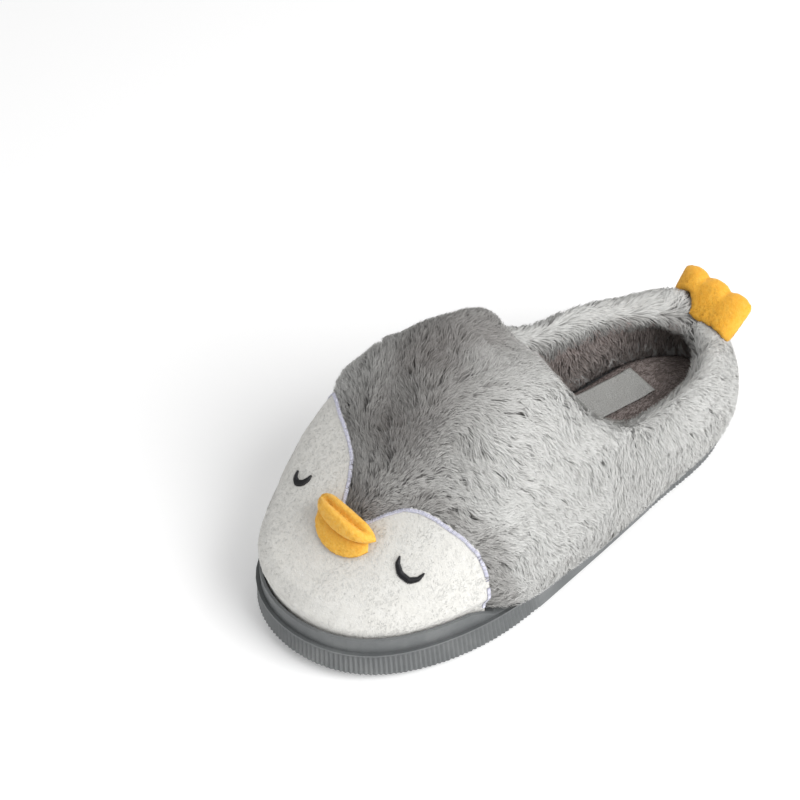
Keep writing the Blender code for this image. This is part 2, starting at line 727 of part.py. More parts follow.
def make_woven_label():
    """Blank ribbon lying on the footbed, its short edges folded under."""
    mesh = bmesh.new()
    bmesh.ops.create_cube(mesh, size=1)
    x, y = LABEL_PLACE[0] * BALL_WIDTH, station_to_y(LABEL_PLACE[1])
    z = insole_top(y) + GAP + LABEL_THICKNESS / 2
    scale = Matrix.Diagonal((LABEL_WIDTH, LABEL_LENGTH, LABEL_THICKNESS, 1))
    mesh.transform(Matrix.Translation((x, y, z)) @ Matrix.Rotation(LABEL_TURN, 4, "Z") @ scale)
    return finish("woven_label", mesh, (0.62, 0.62, 0.60), 0.7)


def make_bill(name, size, tree, colour):
    """One stuffed bill: a lens that tapers to both mouth corners and lies close on the face."""
    mesh = bmesh.new()
    spans, around = 12, 10
    rings = []
    for i in range(1, spans):
        share = -1 + 2 * i / spans
        swell = (1 - abs(share) ** 2.2) ** 0.6
        ring = []
        for j in range(around):
            angle = 2 * math.pi * j / around
            forwards = math.cos(angle) * size["depth"] / 2 * swell + size["forward"] - 0.0022 * share**2
            out = math.sin(angle) * size["thickness"] / 2 * swell + size["raise"] * (0.55 + 0.45 * swell)
            ring.append(mesh.verts.new((share * size["length"] / 2, forwards, out)))
        rings.append(ring)
    ends = [mesh.verts.new((side * size["length"] / 2, size["forward"] - 0.0022, size["raise"] * 0.55))
            for side in (-1, 1)]
    for low, high in zip(rings, rings[1:]):
        for j in range(around):
            other = (j + 1) % around
            mesh.faces.new((low[j], low[other], high[other], high[j]))
    for ring, end in ((rings[0], ends[0]), (rings[-1], ends[1])):
        for j in range(around):
            mesh.faces.new((ring[j], ring[(j + 1) % around], end))
    mesh.transform(skin_frame(tree, BEAK_PLACE, BEAK_TURN))
    bill = finish(name, mesh, colour, 0.9)
    cut(bill, "DIFFERENCE", make_core(PANEL_SUNK - GAP, CUT_REACH))
    return bill


def make_beak(tree):
    """Upper bill, a stuffed roll, over the flatter lower bill."""
    upper_bill = make_bill("beak_upper", UPPER_BILL, tree, (0.95, 0.62, 0.16))
    lower_bill = make_bill("beak_lower", LOWER_BILL, tree, (0.93, 0.52, 0.07))
    grown = dict(UPPER_BILL)
    for key in ("length", "depth", "thickness"):
        grown[key] = UPPER_BILL[key] + 2 * GAP
    shape = make_bill("tool", grown, tree, (0, 0, 0))
    cut(lower_bill, "DIFFERENCE", shape)
    dress(upper_bill, (0.95, 0.62, 0.16), 0.9)
    dress(lower_bill, (0.93, 0.52, 0.07), 0.9)


def make_tail_tab():
    """Stuffed tab with scallops at its far edge, standing on the back of the collar."""
    mesh = bmesh.new()
    across, along = 19, 7
    faces = {}
    for side in (1, -1):
        for i in range(across):
            u = -1 + 2 * i / (across - 1)
            lobe = abs(math.sin(math.pi * TAIL_SCALLOPS * (u + 1) / 2)) ** 0.7
            reach = TAIL_LENGTH - TAIL_SCALLOP_DEPTH * (1 - lobe * (1 - 0.5 * u**4))
            for j in range(along):
                v = j / (along - 1)
                half = TAIL_WIDTH / 2 + TAIL_SPREAD / 2 * v
                puff = (1 - u**4) ** 0.5 * (1 - v**4) ** 0.5 * (1 - 0.16 * (1 - lobe) * v)
                edge_point = abs(u) == 1 or j == along - 1
                if side == -1 and edge_point:
                    faces[side, i, j] = faces[1, i, j]
                else:
                    faces[side, i, j] = mesh.verts.new((u * half, side * TAIL_THICKNESS / 2 * puff, v * reach))
    for side in (1, -1):
        for i in range(across - 1):
            for j in range(along - 1):
                quad = [faces[side, a, b] for a, b in ((i, j), (i + 1, j), (i + 1, j + 1), (i, j + 1))]
                mesh.faces.new(quad)
    base = [faces[1, i, 0] for i in range(across)] + [faces[-1, i, 0] for i in range(across - 2, 0, -1)]
    mesh.faces.new(base)
    back = ROWS / 2
    x, y, z, _, _ = collar_crest(np.array([back]))
    spot = Vector((float(x[0]), float(y[0]) - TAIL_BACK, float(z[0]) - TAIL_SUNK))
    mesh.transform(Matrix.Translation(spot) @ Matrix.Rotation(TAIL_LEAN, 4, "X"))
    tail = finish("tail_tab", mesh, (0.96, 0.62, 0.10), 0.9)
    cut(tail, "DIFFERENCE", make_core(-2 * GAP, CUT_REACH))
    dress(tail, (0.96, 0.62, 0.10), 0.9)
    return tail


def main():
    """Build every sub-part of the slipper."""
    for thing in list(bpy.data.objects):
        bpy.data.objects.remove(thing, do_unlink=True)
    tree = outer_tree()
    make_outsole()
    make_insole()
    make_upper()
    make_face_panel()
    make_beak(tree)
    make_tail_tab()
    make_woven_label()
    corners = np.array([v.co for thing in bpy.data.objects for v in thing.data.vertices])
    low, high = corners.min(axis=0), corners.max(axis=0)
    shift = Matrix.Translation((-(low[0] + high[0]) / 2, -(low[1] + high[1]) / 2, -low[2]))
    for thing in bpy.data.objects:
        thing.data.transform(shift)


main()
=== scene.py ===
"""Looks of a left house slipper: plush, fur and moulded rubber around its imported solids."""

import math

import bmesh
import bpy
import numpy as np
from mathutils import Matrix, Vector, kdtree, noise
from mathutils.bvhtree import BVHTree


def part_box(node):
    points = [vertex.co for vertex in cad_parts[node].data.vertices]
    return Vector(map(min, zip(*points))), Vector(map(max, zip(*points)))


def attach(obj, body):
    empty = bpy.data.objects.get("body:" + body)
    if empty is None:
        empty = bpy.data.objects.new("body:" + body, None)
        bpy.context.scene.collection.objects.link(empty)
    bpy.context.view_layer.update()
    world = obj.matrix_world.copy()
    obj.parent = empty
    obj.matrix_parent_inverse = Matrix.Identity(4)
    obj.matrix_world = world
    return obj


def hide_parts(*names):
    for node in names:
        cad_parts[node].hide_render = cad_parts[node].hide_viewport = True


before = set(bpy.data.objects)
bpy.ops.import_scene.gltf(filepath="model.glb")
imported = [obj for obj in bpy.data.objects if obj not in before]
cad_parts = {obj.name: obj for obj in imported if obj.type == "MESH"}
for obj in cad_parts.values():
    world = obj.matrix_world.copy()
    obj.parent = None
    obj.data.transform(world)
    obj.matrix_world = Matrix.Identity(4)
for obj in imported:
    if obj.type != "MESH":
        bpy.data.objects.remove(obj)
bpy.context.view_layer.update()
bpy.ops.object.select_all(action="DESELECT")


# Studio
# A pale, plain sweep of floor under one large soft light on the slipper's lateral side, with a
# bright room all round. The camera stands off the lateral side of the toe and looks down.
bpy.context.scene.view_settings.view_transform = "Standard"
bpy.context.scene.view_settings.look = "None"

bpy.ops.mesh.primitive_plane_add(size=9, location=(0, 0, -0.0003))
floor = bpy.context.object
floor.name = "floor"
floor_paint = bpy.data.materials.new("floor_paint")
floor_paint.use_nodes = True
floor_paint.node_tree.nodes["Principled BSDF"].inputs["Base Color"].default_value = (0.93, 0.93, 0.93, 1)
floor_paint.node_tree.nodes["Principled BSDF"].inputs["Roughness"].default_value = 0.9
floor_paint.node_tree.nodes["Principled BSDF"].inputs["Emission Color"].default_value = (1, 1, 1, 1)
floor_paint.node_tree.nodes["Principled BSDF"].inputs["Emission Strength"].default_value = 0.12
floor.data.materials.append(floor_paint)

room = bpy.data.worlds.new("room")
bpy.context.scene.world = room
room.use_nodes = True
room.node_tree.nodes["Background"].inputs["Color"].default_value = (1.0, 1.0, 1.0, 1)
room.node_tree.nodes["Background"].inputs["Strength"].default_value = 0.60


def aimed(azimuth, elevation, roll=0.0):
    """Axes of a camera that looks at the slipper from this side and height, leaning by roll."""
    azimuth, elevation, roll = (math.radians(a) for a in (azimuth, elevation, roll))
    back = Vector((math.sin(azimuth) * math.cos(elevation), -math.cos(azimuth) * math.cos(elevation),
                   math.sin(elevation)))
    right = (-back).cross(Vector((0, 0, 1))).normalized()
    up = right.cross(-back)
    axes = (right * math.cos(roll) - up * math.sin(roll), right * math.sin(roll) + up * math.cos(roll), back)
    return Matrix(axes).transposed().to_4x4()


sole_low, sole_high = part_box("outsole")
sole_middle = Vector(((sole_low.x + sole_high.x) / 2, (sole_low.y + sole_high.y) / 2, 0))
bpy.ops.object.camera_add()
camera = bpy.context.object
camera.name = "photo_camera"
camera.data.sensor_width = 36
camera.data.lens = 81.2
camera_stand = sole_middle + Vector((-0.4278, 0.3746, 0.6284))
camera.matrix_world = Matrix.Translation(camera_stand) @ aimed(azimuth=233.74, elevation=44.29, roll=3)
bpy.context.scene.camera = camera

for light_name, direction, distance, size, power in (
        ("key_light", (-0.85, -0.25, 0.75), 1.5, 1.1, 22),
        ("fill_light", (-0.10, 0.85, 0.60), 1.8, 1.4, 1.5)):
    bpy.ops.object.light_add(type="AREA")
    light = bpy.context.object
    light.name = light_name
    light.data.size = size
    light.data.energy = power
    away = Vector(direction).normalized()
    facing = away.to_track_quat("Z", "Y").to_matrix().to_4x4()
    light.matrix_world = Matrix.Translation(away * distance) @ facing


# Sole
# One piece of foamed rubber, moulded with its ribs, lip, groove and toe rand, dark grey and
# satin, a little dusty on the ribs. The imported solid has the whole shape, so it stays.
def new_material(name, colour, roughness):
    """A Principled material with its own colour and roughness."""
    material = bpy.data.materials.new(name)
    material.use_nodes = True
    shader = material.node_tree.nodes["Principled BSDF"]
    shader.inputs["Base Color"].default_value = (*colour, 1)
    shader.inputs["Roughness"].default_value = roughness
    return material, material.node_tree, shader


def add_node(tree, kind, **values):
    """A shader node with its sockets and settings set by name."""
    node = tree.nodes.new(kind)
    for key, value in values.items():
        if key in node.inputs:
            node.inputs[key].default_value = value
        else:
            setattr(node, key, value)
    return node


def add_bump(tree, shader, height, strength, distance):
    """Relief on the shader from a height output."""
    bump = add_node(tree, "ShaderNodeBump", Strength=strength, Distance=distance)
    tree.links.new(height, bump.inputs["Height"])
    tree.links.new(bump.outputs["Normal"], shader.inputs["Normal"])
    return bump


def object_noise(tree, scale, detail=4.0, rough=0.55):
    """Noise through the piece at this many features to a metre."""
    place = add_node(tree, "ShaderNodeTexCoord")
    texture = add_node(tree, "ShaderNodeTexNoise", Scale=scale, Detail=detail, Roughness=rough)
    tree.links.new(place.outputs["Object"], texture.inputs["Vector"])
    return texture.outputs["Fac"]


def ramp(tree, value, stops):
    """Colours at places along a value."""
    node = tree.nodes.new("ShaderNodeValToRGB")
    elements = node.color_ramp.elements
    while len(elements) < len(stops):
        elements.new(0.5)
    for element, (place, colour) in zip(elements, stops):
        element.position = place
        element.color = (*colour, 1)
    tree.links.new(value, node.inputs["Fac"])
    return node.outputs["Color"]


rubber, rubber_tree, rubber_shader = new_material("sole_rubber", (0.14, 0.146, 0.148), 0.50)
dust = ramp(rubber_tree, object_noise(rubber_tree, 55, 6, 0.6),
            ((0.30, (0.108, 0.115, 0.118)), (0.55, (0.142, 0.149, 0.151)), (0.80, (0.190, 0.196, 0.195))))
rubber_tree.links.new(dust, rubber_shader.inputs["Base Color"])
add_bump(rubber_tree, rubber_shader, object_noise(rubber_tree, 2600, 3), 0.25, 0.0002)
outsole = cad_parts["outsole"]
outsole.data.materials.clear()
outsole.data.materials.append(rubber)


# Fur backing
# The knitted backing of the long-pile fabric, sewn to the shape of the upper and turned in over
# the collar. It lies under the pile and hardly shows, a plain grey on both sides.
def soft_copy(node, name, cell, relax):
    """The node's form as one even, soft skin of its own."""
    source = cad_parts[node]
    mesh = bpy.data.meshes.new(name)
    work = bmesh.new()
    work.from_mesh(source.data)
    bmesh.ops.remove_doubles(work, verts=work.verts, dist=2e-5)
    work.to_mesh(mesh)
    work.free()
    piece = bpy.data.objects.new(name, mesh)
    bpy.context.scene.collection.objects.link(piece)
    bpy.ops.object.select_all(action="DESELECT")
    piece.select_set(True)
    bpy.context.view_layer.objects.active = piece
    skin = piece.modifiers.new("even_skin", "REMESH")
    skin.mode = "VOXEL"
    skin.voxel_size = cell
    bpy.ops.object.modifier_apply(modifier=skin.name)
    calm = piece.modifiers.new("relaxed", "SMOOTH")
    calm.factor = 0.5
    calm.iterations = relax
    bpy.ops.object.modifier_apply(modifier=calm.name)
    keep_largest(piece)
    bpy.ops.object.shade_smooth()
    return piece


def keep_largest(piece):
    """Only the largest connected shell of the piece."""
    work = bmesh.new()
    work.from_mesh(piece.data)
    seen = set()
    shells = []
    for start in work.verts:
        if start in seen:
            continue
        seen.add(start)
        shell = [start]
        for vertex in shell:
            for edge in vertex.link_edges:
                other = edge.other_vert(vertex)
                if other not in seen:
                    seen.add(other)
                    shell.append(other)
        shells.append(shell)
    shells.sort(key=len)
    bmesh.ops.delete(work, geom=[v for shell in shells[:-1] for v in shell], context="VERTS")
    work.to_mesh(piece.data)
    work.free()


def settle(piece, node):
    """The piece stands for the node, and moves with the slipper."""
    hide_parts(node)
    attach(piece, "root")


def swell(piece, rise):
    """Every point of the piece moved along its normal by rise(points, normals)."""
    count = len(piece.data.vertices)
    points = np.empty(count * 3, dtype=np.float32)
    normals = np.empty(count * 3, dtype=np.float32)
    piece.data.vertices.foreach_get("co", points)
    piece.data.vertices.foreach_get("normal", normals)
    points, normals = points.reshape(-1, 3), normals.reshape(-1, 3)
    points += normals * rise(points, normals)[:, None]
    piece.data.vertices.foreach_set("co", points.ravel())
    piece.data.update()


def skin_of(piece):
    """Corners, outward normals and areas of the piece's triangles."""
    piece.data.calc_loop_triangles()
    points = np.array([v.co for v in piece.data.vertices])
    corners = points[np.array([t.vertices for t in piece.data.loop_triangles])]
    normals = np.cross(corners[:, 1] - corners[:, 0], corners[:, 2] - corners[:, 0])
    area = np.linalg.norm(normals, axis=1) / 2
    return corners, normals / np.maximum(2 * area, 1e-12)[:, None], area


backing_cloth, backing_tree, backing_shader = new_material("fur_backing_cloth", (0.10, 0.095, 0.09), 0.95)
backing_colour = ramp(backing_tree, object_noise(backing_tree, 700),
                      ((0.35, (0.27, 0.263, 0.255)), (0.65, (0.38, 0.372, 0.362))))
backing_tree.links.new(backing_colour, backing_shader.inputs["Base Color"])
fur_backing = soft_copy("upper", "fur_backing", 0.0024, 34)
fur_backing.data.materials.append(backing_cloth)
settle(fur_backing, "upper")
pile_skin = skin_of(fur_backing)
PILE_RISE = 0.0040
swell(fur_backing, lambda points, normals: -PILE_RISE * np.clip((points[:, 2] - 0.028) / 0.012, 0, 1))


# Face
# An off-white short plush overlay, cut with a lobe for each cheek, sewn down round its edge and
# tucked behind the rand at the toe. It is lightly padded, with a nap brushed in soft swirls.
plush, plush_tree, plush_shader = new_material("white_plush", (0.80, 0.79, 0.74), 0.9)
plush_colour = ramp(plush_tree, object_noise(plush_tree, 240, 8, 0.7),
                    ((0.25, (0.62, 0.61, 0.575)), (0.50, (0.67, 0.66, 0.625)), (0.75, (0.70, 0.695, 0.67))))
plush_tree.links.new(plush_colour, plush_shader.inputs["Base Color"])
plush_shader.inputs["Sheen Weight"].default_value = 0.2
plush_shader.inputs["Sheen Roughness"].default_value = 0.5
add_bump(plush_tree, plush_shader, object_noise(plush_tree, 900, 6, 0.7), 0.5, 0.0006)
face = soft_copy("face_panel", "face_plush", 0.0009, 10)
face.data.materials.append(plush)
settle(face, "face_panel")
swell(face, lambda points, normals: np.full(len(points), 0.0005))


def skin_tree(piece):
    """The piece's surface, for finding places on it."""
    work = bmesh.new()
    work.from_mesh(piece.data)
    tree = BVHTree.FromBMesh(work)
    work.free()
    return tree


# Border
# Close satin stitches in pale lilac thread, which hold the face's raw edge down along both
# lobes from one side of the shoe to the other.
SOLE_LENGTH = 0.262
BALL_WIDTH = 0.107
NOTCH = Vector((0.0312 * BALL_WIDTH, 0.0, 0.0)) + sole_middle
LOBE = (
    (0.000, 0.842), (0.040, 0.836), (0.080, 0.818), (0.118, 0.795), (0.170, 0.772), (0.225, 0.759),
    (0.290, 0.748), (0.355, 0.738), (0.420, 0.725), (0.480, 0.714), (0.540, 0.713), (0.640, 0.713),
)
BORDER_WIDTH = 0.0021
STITCH_PITCH = 0.00052
DESCENT = 0.0006
RAND_TOP = 0.018


def lobe_edge(side, spread=0.0):
    """Plan line of one lobe's edge, from the notch outwards, as close points."""
    across, along = (np.array(column) for column in zip(*LOBE))
    fine = np.linspace(0, len(LOBE) - 1, 400)
    steps = np.arange(len(LOBE))
    x = np.interp(fine, steps, across) * BALL_WIDTH
    y = (np.interp(fine, steps, along) - 0.5) * SOLE_LENGTH
    return np.stack((NOTCH.x + side * x, sole_middle.y + y + spread), axis=1)


def add_stitches(name, places, material):
    """One mesh of many small stitches: each (spot, along, out, length, width, height)."""
    vertices = []
    faces = []
    for spot, along, out, length, width, height in places:
        side = out.cross(along).normalized() * width / 2
        first = len(vertices)
        vertices.append(spot - along * length / 2 - out * height * 0.4)
        for share in (-0.34, 0.34):
            middle = spot + along * length * share
            for corner in (side, out * height, -side, -out * height * 0.5):
                vertices.append(middle + corner)
        vertices.append(spot + along * length / 2 - out * height * 0.4)
        for k in range(4):
            a, b = first + 1 + k, first + 1 + (k + 1) % 4
            faces.append((first, b, a))
            faces.append((a, b, b + 4, a + 4))
            faces.append((first + 9, a + 4, b + 4))
    mesh = bpy.data.meshes.new(name)
    mesh.from_pydata([tuple(v) for v in vertices], [], faces)
    piece = bpy.data.objects.new(name, mesh)
    bpy.context.scene.collection.objects.link(piece)
    mesh.materials.append(material)
    mesh.shade_smooth()
    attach(piece, "root")
    return piece


face_skin = skin_tree(face)
thread, thread_tree, thread_shader = new_material("lilac_thread", (0.62, 0.62, 0.74), 0.45)
thread_shader.inputs["Sheen Weight"].default_value = 0.3
thread_colour = ramp(thread_tree, object_noise(thread_tree, 1500, 2),
                     ((0.35, (0.52, 0.52, 0.64)), (0.65, (0.72, 0.72, 0.80))))
thread_tree.links.new(thread_colour, thread_shader.inputs["Base Color"])
border = []
for side in (-1, 1):
    run = []
    for x, y in lobe_edge(side, 0.0011):
        spot, out, _, _ = face_skin.ray_cast(Vector((x, y, 0.2)), Vector((0, 0, -1)))
        if spot is not None and out.z > 0.12:
            run.append((spot, out))
    last = run[-1][0]
    for height in np.arange(last.z - DESCENT, RAND_TOP, -DESCENT):
        outside = Vector((sole_middle.x + side * 0.2, last.y, height))
        spot, out, _, _ = face_skin.ray_cast(outside, Vector((-side, 0, 0)))
        if spot is not None and abs(spot.x - last.x) < 0.02:
            run.append((spot, out))
    travelled = 0.0
    for (before, out), (after, _) in zip(run, run[1:]):
        travelled += (after - before).length
        if (after - before).length < 1e-6 or (after - before).length > 0.01:
            continue
        while travelled > STITCH_PITCH:
            travelled -= STITCH_PITCH
            forwards = (after - before).normalized()
            across = out.cross(forwards).normalized()
            slanted = (across + forwards * 0.15).normalized()
            border.append((before + out * 0.0002, slanted, out, BORDER_WIDTH, 0.00062, 0.0004))
add_stitches("border_stitches", border, thread)


# Eyes
# Two closed eyelids worked in black satin stitch, each a crescent that hangs from its corners
# and is widest at its middle.
EYES = {
    "near_eye": ((-0.0257, 0.0840), (-0.0268, 0.0862), (-0.0300, 0.0875), (-0.0341, 0.0862),
                 (-0.0363, 0.0830), (-0.0367, 0.0800)),
    "far_eye": ((0.0420, 0.0875), (0.0408, 0.0900), (0.0380, 0.0912), (0.0352, 0.0902),
                (0.0338, 0.0880), (0.0336, 0.0862)),
}
EYE_WIDTH = 0.0034
ink, ink_tree, ink_shader = new_material("black_thread", (0.012, 0.012, 0.014), 0.42)
ink_colour = ramp(ink_tree, object_noise(ink_tree, 1800, 2),
                  ((0.35, (0.008, 0.008, 0.010)), (0.65, (0.018, 0.018, 0.021))))
ink_tree.links.new(ink_colour, ink_shader.inputs["Base Color"])
for eye_name, corners in EYES.items():
    places = []
    line = np.array(corners) + (sole_middle.x, sole_middle.y)
    count = 46
    fine = np.linspace(0, len(line) - 1, count)
    curve = np.stack([np.interp(fine, np.arange(len(line)), line[:, i]) for i in (0, 1)], axis=1)
    curve[1:-1] = (curve[:-2] + 2 * curve[1:-1] + curve[2:]) / 4
    spots = []
    for x, y in curve:
        spot, out, _, _ = face_skin.ray_cast(Vector((x, y, 0.2)), Vector((0, 0, -1)))
        spots.append((spot, out))
    for k, (spot, out) in enumerate(spots):
        before, after = spots[max(k - 1, 0)][0], spots[min(k + 1, count - 1)][0]
        forwards = (after - before).normalized()
        across = out.cross(forwards).normalized()
        share = math.sin(math.pi * (k + 0.5) / count) ** 0.9
        places.append((spot + out * 0.0003, across, out, EYE_WIDTH * (0.22 + 0.78 * share), 0.0007, 0.0007))
    add_stitches(eye_name, places, ink)


# Beak
# Two bills in yellow-orange short plush: the upper one is a stuffed fold with a valley along it,
# and the lower one is a rounded lip below it, both caught in one seam.
bill_plush, bill_tree, bill_shader = new_material("bill_plush", (0.87, 0.47, 0.07), 0.85)
bill_colour = ramp(bill_tree, object_noise(bill_tree, 700, 6, 0.7),
                   ((0.25, (0.78, 0.36, 0.030)), (0.5, (0.87, 0.47, 0.06)), (0.8, (0.93, 0.60, 0.14))))
bill_tree.links.new(bill_colour, bill_shader.inputs["Base Color"])
bill_shader.inputs["Sheen Weight"].default_value = 0.4
bill_shader.inputs["Sheen Tint"].default_value = (1.0, 0.85, 0.5, 1)
add_bump(bill_tree, bill_shader, object_noise(bill_tree, 1500, 5, 0.7), 0.5, 0.0005)
bills = {}
for bill_node in ("beak_upper", "beak_lower"):
    bill = soft_copy(bill_node, bill_node + "_plush", 0.0006, 6)
    bill.data.materials.append(bill_plush)
    settle(bill, bill_node)
    bills[bill_node] = bill


def soft_between(low, high, value):
    """0 at low, 1 at high, soft between."""
    u = np.clip((value - low) / (high - low), 0, 1)
    return u * u * (3 - 2 * u)


def bill_folds(points, normals):
    """Two long rolls with a valley between them along the upper bill, fading out at its corners."""
    low, high = points.min(axis=0), points.max(axis=0)
    along = (points[:, 0] - low[0]) / (high[0] - low[0]) * 2 - 1
    steps = np.linspace(-1, 1, 15)
    middle = [points[abs(along - step) < 0.12, 1].mean() for step in steps]
    across = (points[:, 1] - np.interp(along, steps, middle)) / 0.0042
    fade = soft_between(1.0, 0.55, abs(along)) * soft_between(0.0, 0.5, normals[:, 2] + normals[:, 1] * 0.5)
    rolls = np.exp(-(((across - 0.72) / 0.42) ** 2)) + 0.7 * np.exp(-(((across + 0.72) / 0.42) ** 2))
    return (rolls * 0.0011 - np.exp(-((across / 0.26) ** 2)) * 0.0024) * fade


swell(bills["beak_upper"], bill_folds)


# Tail
# A stuffed tab of yellow-orange plush with three scallops, caught in the collar's seam.
tail_plush, tail_tree, tail_shader = new_material("tail_plush", (0.90, 0.43, 0.025), 0.85)
tail_colour = ramp(tail_tree, object_noise(tail_tree, 420, 8, 0.75),
                   ((0.25, (0.80, 0.34, 0.012)), (0.5, (0.90, 0.44, 0.03)), (0.8, (0.95, 0.58, 0.10))))
tail_tree.links.new(tail_colour, tail_shader.inputs["Base Color"])
tail_shader.inputs["Sheen Weight"].default_value = 0.4
tail_shader.inputs["Sheen Tint"].default_value = (1.0, 0.85, 0.5, 1)
add_bump(tail_tree, tail_shader, object_noise(tail_tree, 1500, 5, 0.7), 0.5, 0.0005)
tail = soft_copy("tail_tab", "tail_plush", 0.0008, 26)
tail.data.materials.append(tail_plush)
settle(tail, "tail_tab")
swell(tail, lambda points, normals: np.full(len(points), 0.0009))


# Footbed
# A foam pad under brown-grey short pile, loose in the shoe.
footbed_cloth, footbed_tree, footbed_shader = new_material("footbed_cloth", (0.16, 0.13, 0.12), 0.95)
footbed_colour = ramp(footbed_tree, object_noise(footbed_tree, 700),
                      ((0.35, (0.13, 0.105, 0.096)), (0.65, (0.19, 0.155, 0.144))))
footbed_tree.links.new(footbed_colour, footbed_shader.inputs["Base Color"])
footbed = soft_copy("insole", "footbed", 0.0016, 6)
footbed.data.materials.append(footbed_cloth)
settle(footbed, "insole")


# Label
# A blank ribbon of grey-white woven tape, sewn flat to the footbed, its ends folded under and one
# corner standing a little off the pile.
ribbon, ribbon_tree, ribbon_shader = new_material("ribbon_weave", (0.50, 0.50, 0.48), 0.6)
weave = object_noise(ribbon_tree, 2400, 2)
weave_colour = ramp(ribbon_tree, weave, ((0.40, (0.33, 0.33, 0.315)), (0.60, (0.62, 0.62, 0.60))))
ribbon_tree.links.new(weave_colour, ribbon_shader.inputs["Base Color"])
add_bump(ribbon_tree, ribbon_shader, weave, 0.9, 0.0005)
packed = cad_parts["woven_label"].data
upward = {tuple(round(n, 6) for n in packed.vertices[k].co)
          for face_of in packed.polygons if face_of.normal.z > 0.8 for k in face_of.vertices}
start, *others = (Vector(corner) for corner in sorted(upward, key=lambda corner: corner[1]))
others.sort(key=lambda corner: (corner - start).length)
short, long = others[0] - start, others[1] - start
bpy.ops.object.select_all(action="DESELECT")
bpy.ops.mesh.primitive_grid_add(x_subdivisions=22, y_subdivisions=44, size=1)
label = bpy.context.object
label.name = "woven_tape"
grid = np.array([v.co for v in label.data.vertices]) + (0.5, 0.5, 0)
above = short.cross(long).normalized()
above = above if above.z > 0 else -above
folded = soft_between(0.40, 0.43, abs(grid[:, 1] - 0.5))
from_corner = np.hypot((grid[:, 0] - 1) * short.length, (grid[:, 1] - 1) * long.length)
corner_lift = np.exp(-((from_corner / 0.010) ** 2))
ripple = 0.00012 * np.sin(grid[:, 1] * 19) * np.sin(grid[:, 0] * 7 + 1)
lift = 0.0001 + folded * 0.0005 + corner_lift * 0.0022 + ripple
shaped = np.array(start) + grid[:, :1] * np.array(short) + grid[:, 1:2] * np.array(long)
shaped = shaped + lift[:, None] * np.array(above)
label.data.vertices.foreach_set("co", shaped.astype(np.float32).ravel())
label.data.update()
if label.data.polygons[0].normal.z < 0:
    label.data.flip_normals()
tape = label.modifiers.new("tape", "SOLIDIFY")
tape.thickness = 0.0004
tape.offset = 1
bpy.ops.object.modifier_apply(modifier=tape.name)
bpy.ops.object.shade_smooth()
label.data.materials.append(ribbon)
settle(label, "woven_label")


# Fur
# Long-pile faux fur in tufts, each of many fibres with dark roots and paler tips. It is combed
# towards the heel and down both sides, and parts in a whorl on the vamp that is coloured darker and browner:
# partly its own browner tone, partly painted shade, with a painted shadow along the face's lateral edge and
# painted shade on the pile turned in over the collar.
def scatter(skin, density, chance, keep):
    """Even random places on a skin where keep(points, normals) is true."""
    corners, normals, area = skin
    area = area * keep(corners.mean(axis=1), normals)
    count = int(area.sum() * density)
    chosen = chance.choice(len(area), count, p=area / area.sum())
    a, b = chance.random((2, count, 1))
    flip = a + b > 1
    a, b = np.where(flip, 1 - a, a), np.where(flip, 1 - b, b)
    base = corners[chosen]
    return base[:, 0] + (base[:, 1] - base[:, 0]) * a + (base[:, 2] - base[:, 0]) * b, normals[chosen]


def unit(vectors):
    """The vectors at length one."""
    return vectors / np.maximum(np.linalg.norm(vectors, axis=1, keepdims=True), 1e-9)


def laid_on(tree, points):
    """Nearest places on the skin, and its normals there."""
    found = [tree.find_nearest(spot) for spot in points]
    return np.array([hit[0] for hit in found]), np.array([hit[1] for hit in found])


